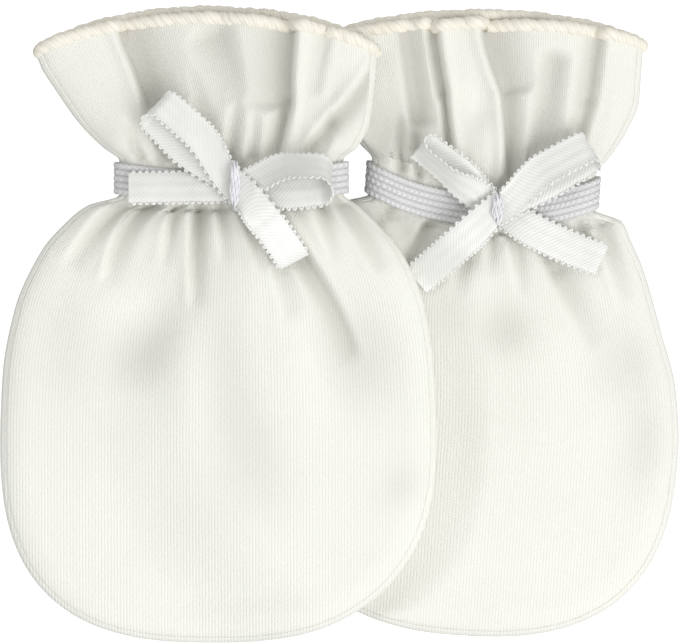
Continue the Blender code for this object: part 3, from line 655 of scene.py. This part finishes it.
def fabric(name, facts):
    # facts: pattern group and its repeats per metre, tones and painted shade tones, roughness, sheen,
    # relief
    made = bpy.data.materials.new(name)
    made.use_nodes = True
    tree = made.node_tree
    shader = tree.nodes["Principled BSDF"]
    coords = addNode(tree, "ShaderNodeTexCoord").outputs
    mapped = addNode(tree, "ShaderNodeMapping", {"Vector": coords["UV"], "Scale": facts["repeats"],
                                                 "Rotation": (0.0, 0.0, facts.get("slant", 0.0))})
    if facts["pattern"] == "knit":
        relief = useGroup(tree, "knit", {"Stitches": mapped.outputs[0]})
    else:
        relief = useGroup(tree, "thread", {"Along": mapped.outputs[0]})
    tone = useGroup(tree, "tone", {
        "Place": coords["Object"], "Scale": facts["driftScale"], "Tone": facts["tone"],
        "Drift": facts["drift"], "Gap Painted Shade": facts["gapPaintedShade"],
        "Between": relief["Between"], "Gap Share": facts["gapShare"],
        "Painted Shade": addNode(tree, "ShaderNodeAttribute", attribute_name="paintedShade").outputs["Fac"],
        "Painted Shade Tone": facts.get("paintedShadeTone", facts["tone"])})
    height = calc(tree, "MULTIPLY_ADD", tone["Fuzz"], facts["fuzz"], relief["Height"])
    bump = addNode(tree, "ShaderNodeBump", {"Height": height, "Strength": facts["strength"],
                                            "Distance": facts["relief"] * mm})
    tree.links.new(tone["Colour"], shader.inputs["Base Color"])
    tree.links.new(bump.outputs[0], shader.inputs["Normal"])
    shader.inputs["Roughness"].default_value = facts["roughness"]
    shader.inputs["Sheen Weight"].default_value = facts["sheen"]
    shader.inputs["Sheen Roughness"].default_value = 0.6
    shader.inputs["Specular IOR Level"].default_value = facts["gloss"]
    return made


# each gap tone is painted shade between the threads
looks = {
    "cotton": fabric("cottonInterlock", {
        "pattern": "knit", "repeats": (1650.0, 2000.0, 1.0), "driftScale": 45.0,
        "tone": (0.90, 0.90, 0.85, 1), "drift": (0.87, 0.87, 0.81, 1), "gapPaintedShade": (0.66, 0.64, 0.57, 1),
        # painted shade: the darker tone the cotton is mixed towards deep in its folds
        "paintedShadeTone": (0.62, 0.61, 0.56, 1),
        "gapShare": 0.3, "fuzz": 1.2, "strength": 0.6, "relief": 0.16,
        "roughness": 0.95, "sheen": 0.15, "gloss": 0.2}),
    "edging": fabric("hemThread", {
        "pattern": "thread", "repeats": (1.0, 1.0, 1.0), "driftScale": 160.0,
        "tone": (0.90, 0.87, 0.77, 1), "drift": (0.85, 0.82, 0.72, 1), "gapPaintedShade": (0.56, 0.50, 0.38, 1),
        "gapShare": 0.18, "fuzz": 0.4, "strength": 0.6, "relief": 0.08,
        "roughness": 0.8, "sheen": 0.1, "gloss": 0.3}),
    "elastic": fabric("knittedElastic", {
        "pattern": "knit", "repeats": (1.0, 1.0, 1.0), "driftScale": 200.0,
        "tone": (0.80, 0.80, 0.81, 1), "drift": (0.74, 0.74, 0.75, 1), "gapPaintedShade": (0.34, 0.33, 0.33, 1),
        "gapShare": 0.62, "fuzz": 0.4, "strength": 0.6, "relief": 0.08,
        "roughness": 0.7, "sheen": 0.1, "gloss": 0.35}),
    "satin": fabric("satinRibbon", {
        "pattern": "thread", "repeats": (1900.0, 1900.0, 1.0), "slant": 0.85, "driftScale": 240.0,
        "tone": (0.85, 0.85, 0.82, 1), "drift": (0.80, 0.80, 0.77, 1), "gapPaintedShade": (0.56, 0.56, 0.54, 1),
        "gapShare": 0.26, "fuzz": 0.3, "strength": 0.5, "relief": 0.06,
        "roughness": 0.36, "sheen": 0.0, "gloss": 0.6}),
    "tack": fabric("tackThread", {
        "pattern": "thread", "repeats": (1.0, 1.0, 1.0), "driftScale": 300.0,
        "tone": (0.88, 0.88, 0.91, 1), "drift": (0.83, 0.83, 0.87, 1), "gapPaintedShade": (0.60, 0.60, 0.66, 1),
        "gapShare": 0.35, "fuzz": 0.3, "strength": 0.6, "relief": 0.06,
        "roughness": 0.5, "sheen": 0.0, "gloss": 0.4}),
}
print("materials made")


def stations(shape):
    shoulder = wrist["groove"] + wrist["grooveRun"]
    low, high = -shoulder - 3.0, shoulder + 1.0
    rows = np.concatenate((
        np.linspace(shape.hem, high, clothLook["cuffSteps"], endpoint=False),
        np.linspace(high, low, clothLook["wristSteps"], endpoint=False),
        low + (shape.widest - low) * np.linspace(0, 1, clothLook["bodySteps"]) ** 1.15))
    side = (shape.hem - rows) / (shape.hem - shape.widest)
    tip = 1.0 + np.arange(1, clothLook["tipSteps"]) / clothLook["tipSteps"]
    return np.concatenate((side, tip, 3.0 - side[::-1])), len(side)


def clothPanel(shape, front):
    place, sideCount = stations(shape)
    seam, perRing = (part[:, None] for part in shape.seamRing(place))
    gap = clothLook["seamGap"] / 2 / perRing
    start, end = (seam + gap, 1.0) if front else (seam - gap, -1.0)
    flat = clothLook["flatSteps"] if front else clothLook["backFlatSteps"]
    near = start + (end - start) * np.linspace(0, 1, clothLook["edgeSteps"]) ** 1.3
    far = end * (1 + np.arange(1, flat + 1) / flat)
    ring = np.hstack((near, np.repeat(far[None, :], len(place), 0)))
    places = np.repeat(place[:, None], ring.shape[1], 1)
    points, row, u, v = shape.point(places, ring)
    facing = shape.outward(places, ring)
    rim = clothLook["rimReach"] * ease(1 - (shape.hem - row) / 1.6)
    points = points + rim[..., None] * shape.upCuff
    away = np.abs(ring - seam) * perRing
    wander = 1 + 0.25 * np.sin(places * 97.0) * np.sin(places * 41.0 + 1.0)
    dip = clothLook["seamDip"] * wander * np.exp(-(away / clothLook["seamDipWidth"]) ** 2)
    outer = points - facing * dip[..., None]
    inner = outer - facing * clothLook["wall"]
    leftU, _, rightU, _ = shape.rowEnds(np.maximum(row, shape.widest))
    cutU = (2 * u - leftU - rightU) / (rightU - leftU) * clothLook["flatHalf"]
    uv = np.stack((cutU, v), -1) * mm
    count, sides = ring.shape
    index = np.arange(count * sides).reshape(count, sides)
    twin = np.minimum(np.arange(count), count - 1 - np.arange(count))
    index[:, -1] = index[np.minimum(twin, sideCount - 1), -1]
    name = f"{shape.side}_{'front' if front else 'back'}_cloth"
    # how deep each point lies in a fold, kept as painted shade for the cloth's colour
    paintedShade = shape.paintedShade(row, u, v, not front)
    return shell(name, outer, inner, uv, looks["cotton"], index, flip=not front, paintedShade=paintedShade)


def lineRound(shape, row, count, folded):
    # points all round a mitten at one row, and the way the cloth faces there, evenly spaced
    place = (shape.hem - row) / (shape.hem - shape.widest)
    ring = np.linspace(-2, 2, 900)
    halves = []
    for here, rings in ((place, ring[:-1]), (3.0 - place, ring[::-1][:-1])):
        places = np.full(len(rings), here)
        halves.append((shape.point(places, rings, folded)[0], shape.outward(places, rings)))
    points = np.concatenate([half[0] for half in halves])
    facing = np.concatenate([half[1] for half in halves])
    far = np.cumsum(np.linalg.norm(np.roll(points, -1, 0) - points, axis=1))
    far = np.concatenate(([0.0], far))
    wanted = np.arange(count) / count * far[-1]
    loop = np.vstack((points, points[:1]))
    faces = np.vstack((facing, facing[:1]))
    even = np.stack([np.interp(wanted, far, loop[:, k]) for k in range(3)], -1)
    out = np.stack([np.interp(wanted, far, faces[:, k]) for k in range(3)], -1)
    return even, unit(out), far[-1]


def softened(values, reach):  # evens out a closed run of points
    total = sum(np.roll(values, shift, 0) for shift in range(-reach, reach + 1))
    return total / (2 * reach + 1)


hemLook = {
    "radius": 1.05, "clear": 0.5,
    "strandPitch": 2.0, "turnsPerRound": 2,      # each strand runs two pitches on per turn
    "strandRelief": 0.26, "threadRelief": 0.06, "threadsPerStrand": 3,
    "stations": 1150, "sides": 20,
}


def hemEdging(shape):
    look = hemLook
    points, facing, length = lineRound(shape, shape.hem, look["stations"], True)
    centre = softened(points - facing * clothLook["wall"] / 2, 4)
    run = unit(np.roll(centre, -1, 0) - np.roll(centre, 1, 0))
    over = unit(shape.upCuff - run * (run @ shape.upCuff)[:, None])
    side = np.cross(run, over)
    centre = centre + over * (look["clear"] + look["radius"])
    angle = -math.tau * np.arange(look["sides"]) / look["sides"]
    along = np.arange(look["stations"]) / look["stations"]
    strands = round(length / look["strandPitch"])
    wander = 0.2 * np.sin(along * math.tau * 9 + 1) + 0.12 * np.sin(along * math.tau * 23)
    phase = (along * strands + wander)[:, None] + look["turnsPerRound"] * angle / math.tau
    strand = np.abs(np.sin(math.pi * phase)) ** 0.7
    thread = np.abs(np.sin(math.pi * phase * look["threadsPerStrand"]))
    swell = 1 + 0.06 * np.sin(along * math.tau * 14 + 2) + 0.05 * np.sin(along * math.tau * 33)
    radius = look["radius"] * swell[:, None] - look["strandRelief"] * (1 - strand)
    radius = radius + look["threadRelief"] * thread + 0.12
    around = np.cos(angle)[:, None] * side[:, None, :] + np.sin(angle)[:, None] * over[:, None, :]
    rings = centre[:, None, :] + radius[..., None] * around
    rings[..., 2] = np.maximum(rings[..., 2], 0.02)          # flat where it rests
    around = np.append(angle, -math.tau)
    along = np.append(along, 1.0)
    wander = np.append(wander, wander[0])
    turned = (along * strands + wander)[:, None] + look["turnsPerRound"] * around / math.tau
    uv = np.stack((turned * 3.0, np.repeat(along[:, None], len(around), 1) * length), -1)
    return tubes(shape.side + "_hem_edging", [(rings, uv, True)], looks["edging"])


elasticLook = {
    "columns": 5, "pitch": 0.95, "relief": 0.2, "inner": 0.16, "outer": 0.92,
    "stations": 640, "across": 36,
}


def wristElastic(shape):
    look = elasticLook
    points, facing, length = lineRound(shape, 0.0, look["stations"], False)
    flat = unit(facing - shape.upCuff * (facing @ shape.upCuff)[:, None])
    across = np.linspace(-1, 1, look["across"])
    along = np.arange(look["stations"]) / look["stations"] * round(length / look["pitch"])
    column = (across + 1) / 2 * look["columns"]
    inColumn = np.abs(column - np.floor(column) - 0.5) * 2
    phase = along[:, None] + 0.5 * inColumn + 0.5 * (np.floor(column) % 2)
    rib = 1 - inColumn ** 4
    stitch = 0.5 + 0.5 * np.cos(math.tau * phase)
    bulge = look["relief"] * (0.3 * rib + 0.7 * rib * stitch)
    edges = np.abs(across) > 0.99
    bulge = np.where(edges, 0.0, bulge)
    width = wrist["bandWidth"] / 2 * (1 + 0.012 * np.cos(math.tau * along))[:, None] * across
    reach = look["outer"] - 0.5 * look["relief"] + bulge
    line = points[:, None, :] + shape.upCuff * width[..., None]
    outer = line + flat[:, None, :] * reach[..., None]
    inner = line + flat[:, None, :] * look["inner"]
    uv = np.stack(np.broadcast_arrays(column, phase), -1)
    return shell(shape.side + "_wrist_elastic", outer, inner, uv, looks["elastic"], closed=True, flip=True)


ribbonLook = {
    "width": 6.4, "satin": 5.5, "thick": 0.28, "layer": 0.8, "layerThick": 0.5,
    "heart": 0.3, "loopLevel": 1.7, "tackLevel": 5.9, "pinch": 0.86, "crown": 0.12, "across": 13,
    "picotPitch": 1.15, "picotReach": 0.27, "picotThread": 0.2,
}


def picotModel():  # one small thread loop, half a ring standing on the ribbon's edge
    bpy.ops.object.select_all(action="DESELECT")
    bpy.ops.mesh.primitive_torus_add(major_segments=12, minor_segments=6,
                                     major_radius=ribbonLook["picotReach"],
                                     minor_radius=ribbonLook["picotThread"])
    model = bpy.context.object
    bpy.ops.object.mode_set(mode="EDIT")
    bpy.ops.mesh.select_all(action="SELECT")
    bpy.ops.mesh.bisect(plane_co=(0, -0.05, 0), plane_no=(0, 1, 0), use_fill=True, clear_inner=True)
    bpy.ops.object.mode_set(mode="OBJECT")
    points = np.array([corner.co for corner in model.data.vertices])
    faces = [tuple(face.vertices) for face in model.data.polygons]
    bpy.data.meshes.remove(model.data)
    return points, faces


picot = picotModel()


def levelHeight(level):
    return wrist["bandGap"] + ribbonLook["layerThick"] / 2 + level * ribbonLook["layer"]


def bowBase(shape):
    u, v = shape.facts["bowAt"]
    x, y = shape.world(u, v)
    top = shape.frontHeight(0.0, u, v, False) + wrist["bandGap"] + wrist["bandThick"]
    return np.array((x, y, float(top)))


def raisedCloth(shape, base, line, beside, share):  # under a ribbon, share of its width counted
    run = stacking["topLiftRun"]
    reach = np.array((-0.5, 0.0, 0.5)) * ribbonLook["width"]
    spots = line[:, None, :] + beside * (share[:, None] * reach)[..., None]
    raised = shape.base(spots[..., 0], spots[..., 1], run).max(axis=1)
    return raised - shape.base(base[0], base[1], run)


def tackSlant(heading, reach, fade):  # the ribbon's end is cut along the tack that holds it
    return np.clip(math.tan(heading), -1.3, 1.3) * reach * (1 - ease(fade))


def clothTop(shape, x, y):
    u, v = shape.local(x, y)
    leftU, _, rightU, _ = shape.rowEnds(np.maximum(v, shape.widest))
    across = np.clip((2 * u - leftU - rightU) / (rightU - leftU), -1, 1)
    row = v - shape.arch(v) * (1 - across * across) ** 0.75
    top = shape.frontHeight(row, u, v)
    band = shape.frontHeight(0.0 * row, u, v, False) + wrist["bandGap"] + wrist["bandThick"]
    return np.where(np.abs(row) < wrist["bandWidth"] / 2 + 0.6, band, top)


def ribbonPiece(name, line, across, wide, skew=0.0):
    # a flat ribbon along a line, with small thread loops along both of its edges
    look = ribbonLook
    run = unit(np.gradient(line, axis=0))
    face = unit(np.cross(run, across))
    far = np.concatenate(([0.0], np.cumsum(np.linalg.norm(np.diff(line, axis=0), axis=1))))
    spread = np.linspace(-1, 1, look["across"])
    reach = look["satin"] / 2 * wide
    crown = look["crown"] * (1 - spread ** 2) + 0.05 * np.cos(spread * 9)
    grid = (line[:, None, :] + across[:, None, :] * (reach[:, None] * spread)[..., None]
            + face[:, None, :] * (crown * np.ones_like(reach)[:, None])[..., None])
    if np.any(skew):
        grid = grid + run[:, None, :] * (skew[:, None] * spread)[..., None]
    half = face[:, None, :] * look["thick"] / 2
    uv = np.stack((np.repeat(spread[None, :] * look["satin"] / 2, len(line), 0),
                   np.repeat(far[:, None], len(spread), 1)), -1) * mm
    count = len(line) * len(spread)
    index = np.arange(count).reshape(len(line), len(spread))
    under = index + count
    faces = gridFaces(index, True) + gridFaces(under, False)
    for top, low, turned in ((index[:, 0], under[:, 0], False), (index[:, -1], under[:, -1], True),
                             (index[0], under[0], True), (index[-1], under[-1], False)):
        faces += gridFaces(np.stack((top, low), -1), turned)
    points = [(grid + half).reshape(-1, 3), (grid - half).reshape(-1, 3)]
    uvs = [uv.reshape(-1, 2), uv.reshape(-1, 2)]
    start = 2 * count
    steps = int((far[-1] - 0.8) / look["picotPitch"])
    for column, sign in ((0, -1), (-1, 1)):
        edge = grid[:, column]
        for k in range(steps + 1):
            s = 0.4 + k * look["picotPitch"]
            at = [np.array([np.interp(s, far, part[:, c]) for c in range(3)])
                  for part in (edge, run, across, face)]
            frameOf = np.stack((at[1], at[2] * sign, at[3]))
            local = picot[0] * np.array((1.0, 1.15, 1.0))
            local[:, 2] += 0.06 * math.sin(k * 2.3 + sign)
            points.append(at[0] + local @ frameOf)
            faces += [tuple(c + start for c in (f if sign < 0 else f[::-1])) for f in picot[1]]
            uvs.append(np.stack((local[:, 0], local[:, 1] + s), -1) * mm)
            start += len(local)
    flat = np.concatenate(uvs)[np.concatenate(faces)]
    return meshPiece(name, np.concatenate(points), faces, flat, looks["satin"], 60.0)


def headed(direction):  # the way ahead, and the way beside it on the left
    heading = math.radians(direction)
    ahead = np.array((math.cos(heading), math.sin(heading), 0.0))
    return heading, ahead, np.array((-ahead[1], ahead[0], 0.0))


def bowLoop(shape, facts):
    # out along the bottom, round the end and back on top, rolled over to one side
    name, direction, length, radius, tiltLow, tiltHigh, shiftLow, shiftHigh, endLevel = facts
    look, base = ribbonLook, bowBase(shape)
    heading, ahead, beside = headed(direction)
    straight = length - radius - look["heart"]
    far = np.linspace(0.0, 2 * straight + math.pi * radius, 130)
    turned = np.clip((far - straight) / radius, 0.0, math.pi)
    onTop = (1 - np.cos(turned)) / 2                         # 0 below, 1 on top
    reach = np.minimum(far, straight) - np.maximum(far - straight - math.pi * radius, 0.0)
    out = (reach + radius * np.sin(turned)) / (length - look["heart"])
    ended = look["layer"] * (endLevel - look["loopLevel"])
    climb = ended + (2 * radius - ended) * ease(reach / straight) ** 1.6
    rise = np.where(turned < math.pi, 2 * radius * onTop, climb)
    tilt = np.radians(tiltLow + (tiltHigh - tiltLow) * onTop) * ease(out * 1.5)
    edgeDrop = look["width"] / 2 * np.abs(np.sin(tilt))
    lift = rise + np.maximum(edgeDrop - (rise - 0.5) * onTop, 0.0)
    shift = (shiftLow + (shiftHigh - shiftLow) * onTop) * ease(out * 1.7) * (1 - 0.3 * out ** 2)
    line = (base + ahead * (look["heart"] + reach + radius * np.sin(turned))[:, None]
            + beside * shift[:, None])
    raised = raisedCloth(shape, base, line, beside, ease(out * 4))
    line[:, 2] = base[2] + levelHeight(look["loopLevel"]) + lift + raised
    across = beside * np.cos(tilt)[:, None] - np.array((0.0, 0.0, 1.0)) * np.sin(tilt)[:, None]
    wide = look["pinch"] + (1 - look["pinch"]) * ease(out * 2)
    skew = tackSlant(heading, look["satin"] / 2 * wide, out * 1.8) * np.where(onTop < 0.5, 1, -1)
    return ribbonPiece(f"{shape.side}_{name}_ribbon", line, across, wide, skew)


def bowTail(shape, facts):
    name, direction, length, bend, level, cut, roll = facts
    look, base = ribbonLook, bowBase(shape)
    heading, ahead, beside = headed(direction)
    t = np.linspace(0, 1, 70)
    far = look["heart"] + (length - look["heart"]) * t
    line = base + ahead * far[:, None] + beside * (bend * np.sin(math.pi * t))[:, None]
    spots = line[:, None, :] + beside * (np.linspace(-0.5, 0.5, 7) * look["width"])[:, None]
    cloth = clothTop(shape, spots[..., 0], spots[..., 1]).max(axis=1)
    rest = cloth + wrist["bandGap"] + look["layerThick"] / 2 + 0.25
    rest = np.convolve(np.pad(rest, 6, mode="edge"), np.ones(13) / 13, "valid") + 0.1
    top = base[2] + levelHeight(level) + raisedCloth(shape, base, line, beside, ease(t * 4))
    line[:, 2] = np.maximum(top + (rest - top) * ease(t * 1.4 - 0.4), rest)
    tilt = np.radians(roll) * ease(t * 3)
    line[:, 2] += 0.18 * np.sin(t * 9 + level) * t + look["width"] / 2 * np.abs(np.sin(tilt))
    across = beside * np.cos(tilt)[:, None] - np.array((0.0, 0.0, 1.0)) * np.sin(tilt)[:, None]
    wide = look["pinch"] + (1 - look["pinch"]) * ease(t * 4)
    skew = math.tan(math.radians(cut)) * t ** 8 * look["satin"] / 2
    skew = skew + tackSlant(heading, look["satin"] / 2 * wide, t * 1.8)
    return ribbonPiece(f"{shape.side}_{name}_ribbon", line, across, wide, skew)


def tackThreads(shape):  # a bundle of threads over the crossing of the bow
    wide, long = shape.facts["tack"]
    base, parts = bowBase(shape), []
    top = levelHeight(ribbonLook["tackLevel"]) - ribbonLook["layerThick"] / 2
    t = np.linspace(-1, 1, 40)
    angle = -math.tau * np.arange(7) / 7
    for k in range(9):
        across = (k - 4) / 4
        x = wide / 2 * across * (0.72 + 0.2 * np.cos(t * 2.2)) + 0.14 * np.sin(t * 5 + k * 1.7)
        y = t * (long / 2 - 0.7 * across * across - 0.4 * (k % 3))
        z = top + 0.2 * (1 - across * across) - 1.3 * np.abs(t) ** 8 + 0.09 * (k % 2)
        line = base + np.stack((x, y, z), -1)
        run = unit(np.gradient(line, axis=0))
        side = unit(np.cross(run, np.array((0.0, 0.0, 1.0))))
        over = np.cross(side, run)
        radius = 0.18 * (1 + 0.08 * np.sin(t * 50 + k))
        ring = np.cos(angle)[:, None] * side[:, None, :] + np.sin(angle)[:, None] * over[:, None, :]
        turned = np.append(angle, -math.tau) / 3
        uv = np.stack(np.broadcast_arrays(turned + t[:, None] * 12, t[:, None] * 9), -1)
        parts.append((line[:, None, :] + radius[:, None, None] * ring, uv, False))
    return tubes(shape.side + "_tack_threads", parts, looks["tack"])


def stands(piece, node):
    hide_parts(node)
    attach(piece, "root")
    return piece


def makeMitten(shape):
    side, facts, made = shape.side, shape.facts, {}
    for front in (True, False):
        word = "front" if front else "back"
        made[word] = stands(clothPanel(shape, front), f"{side}_{word}_panel")
    print(side, "panels made")
    made["hem"] = stands(hemEdging(shape), side + "_hem_roll")
    made["elastic"] = stands(wristElastic(shape), side + "_elastic_band")
    print(side, "hem and elastic made")
    for loop in facts["loops"]:
        made[loop[0]] = stands(bowLoop(shape, loop), f"{side}_{loop[0]}")
    for tail in facts["tails"]:
        made[tail[0]] = stands(bowTail(shape, tail), f"{side}_{tail[0]}")
    made["tack"] = stands(tackThreads(shape), side + "_bow_tack")
    print(side, "bow made")
    return made


studio = {
    "floorTone": (0.42, 0.42, 0.42, 1), "floorGlow": 0.95, "floorBelow": 0.0003,
    "worldLight": 0.69,
    "cameraHeight": 0.9, "silhouetteHeight": 0.003,
    "frameWidth": 0.1204,                        # metres across the view at that height
    "cameraShift": (0.00012, 0.00047),
    # lights: name, place, size, power
    "lights": [("key", (0.5, -0.42, 0.85), 0.8, 6.2), ("fill", (-0.35, 0.5, 0.9), 0.6, 1.0)],
}


def makeStage(lowest):
    bpy.ops.object.select_all(action="DESELECT")
    bpy.ops.mesh.primitive_plane_add(size=4.0, location=(0, 0, lowest - studio["floorBelow"]))
    floor = bpy.context.object
    floor.name = "floor"
    pale = bpy.data.materials.new("paleFloor")
    pale.use_nodes = True
    shader = pale.node_tree.nodes["Principled BSDF"]
    shader.inputs["Base Color"].default_value = studio["floorTone"]
    shader.inputs["Roughness"].default_value = 0.9
    shader.inputs["Specular IOR Level"].default_value = 0.1
    shader.inputs["Emission Color"].default_value = (1, 1, 1, 1)
    seen = addNode(pale.node_tree, "ShaderNodeLightPath").outputs["Is Camera Ray"]
    glow = calc(pale.node_tree, "MULTIPLY", seen, studio["floorGlow"])
    pale.node_tree.links.new(glow, shader.inputs["Emission Strength"])
    floor.data.materials.append(pale)


def softLight(name, place, size, power, aim):
    data = bpy.data.lights.new(name, "AREA")
    data.shape, data.size, data.energy = "DISK", size, power
    lamp = bpy.data.objects.new(name, data)
    lamp.location = place
    lamp.rotation_mode = "QUATERNION"
    lamp.rotation_quaternion = (aim - lamp.location).to_track_quat("-Z", "Y")
    bpy.context.scene.collection.objects.link(lamp)


def makeCamera(low, high):
    data = bpy.data.cameras.new("camera")
    camera = bpy.data.objects.new("camera", data)
    middle = (low + high) / 2
    height = studio["cameraHeight"]
    away = height - studio["silhouetteHeight"]
    data.lens = data.sensor_width * away / studio["frameWidth"]
    data.clip_start, data.clip_end = 0.05, 5.0
    shiftX, shiftY = studio["cameraShift"]
    camera.location = (middle.x + shiftX, middle.y + shiftY, height)
    bpy.context.scene.collection.objects.link(camera)
    bpy.context.scene.camera = camera


def makeWorld():
    world = bpy.data.worlds.new("pale")
    world.use_nodes = True
    world.node_tree.nodes["Background"].inputs[0].default_value = (1, 1, 1, 1)
    world.node_tree.nodes["Background"].inputs[1].default_value = studio["worldLight"]
    bpy.context.scene.world = world


left, right = (Shape(side, facts) for side, facts in mittens.items())
left.liftEdge = right.sideOutline(-1)
right.squashEdge = left.sideOutline(1)
pieces = {shape.side: makeMitten(shape) for shape in (left, right)}

lowest, highest = cadBox
makeStage(lowest.z)
makeCamera(lowest, highest)
makeWorld()
middle = (lowest + highest) / 2
for name, place, size, power in studio["lights"]:
    softLight(name, place, size, power, middle)
bpy.context.scene.view_settings.view_transform = "Standard"
bpy.context.scene.view_settings.look = "None"
print("stage made")
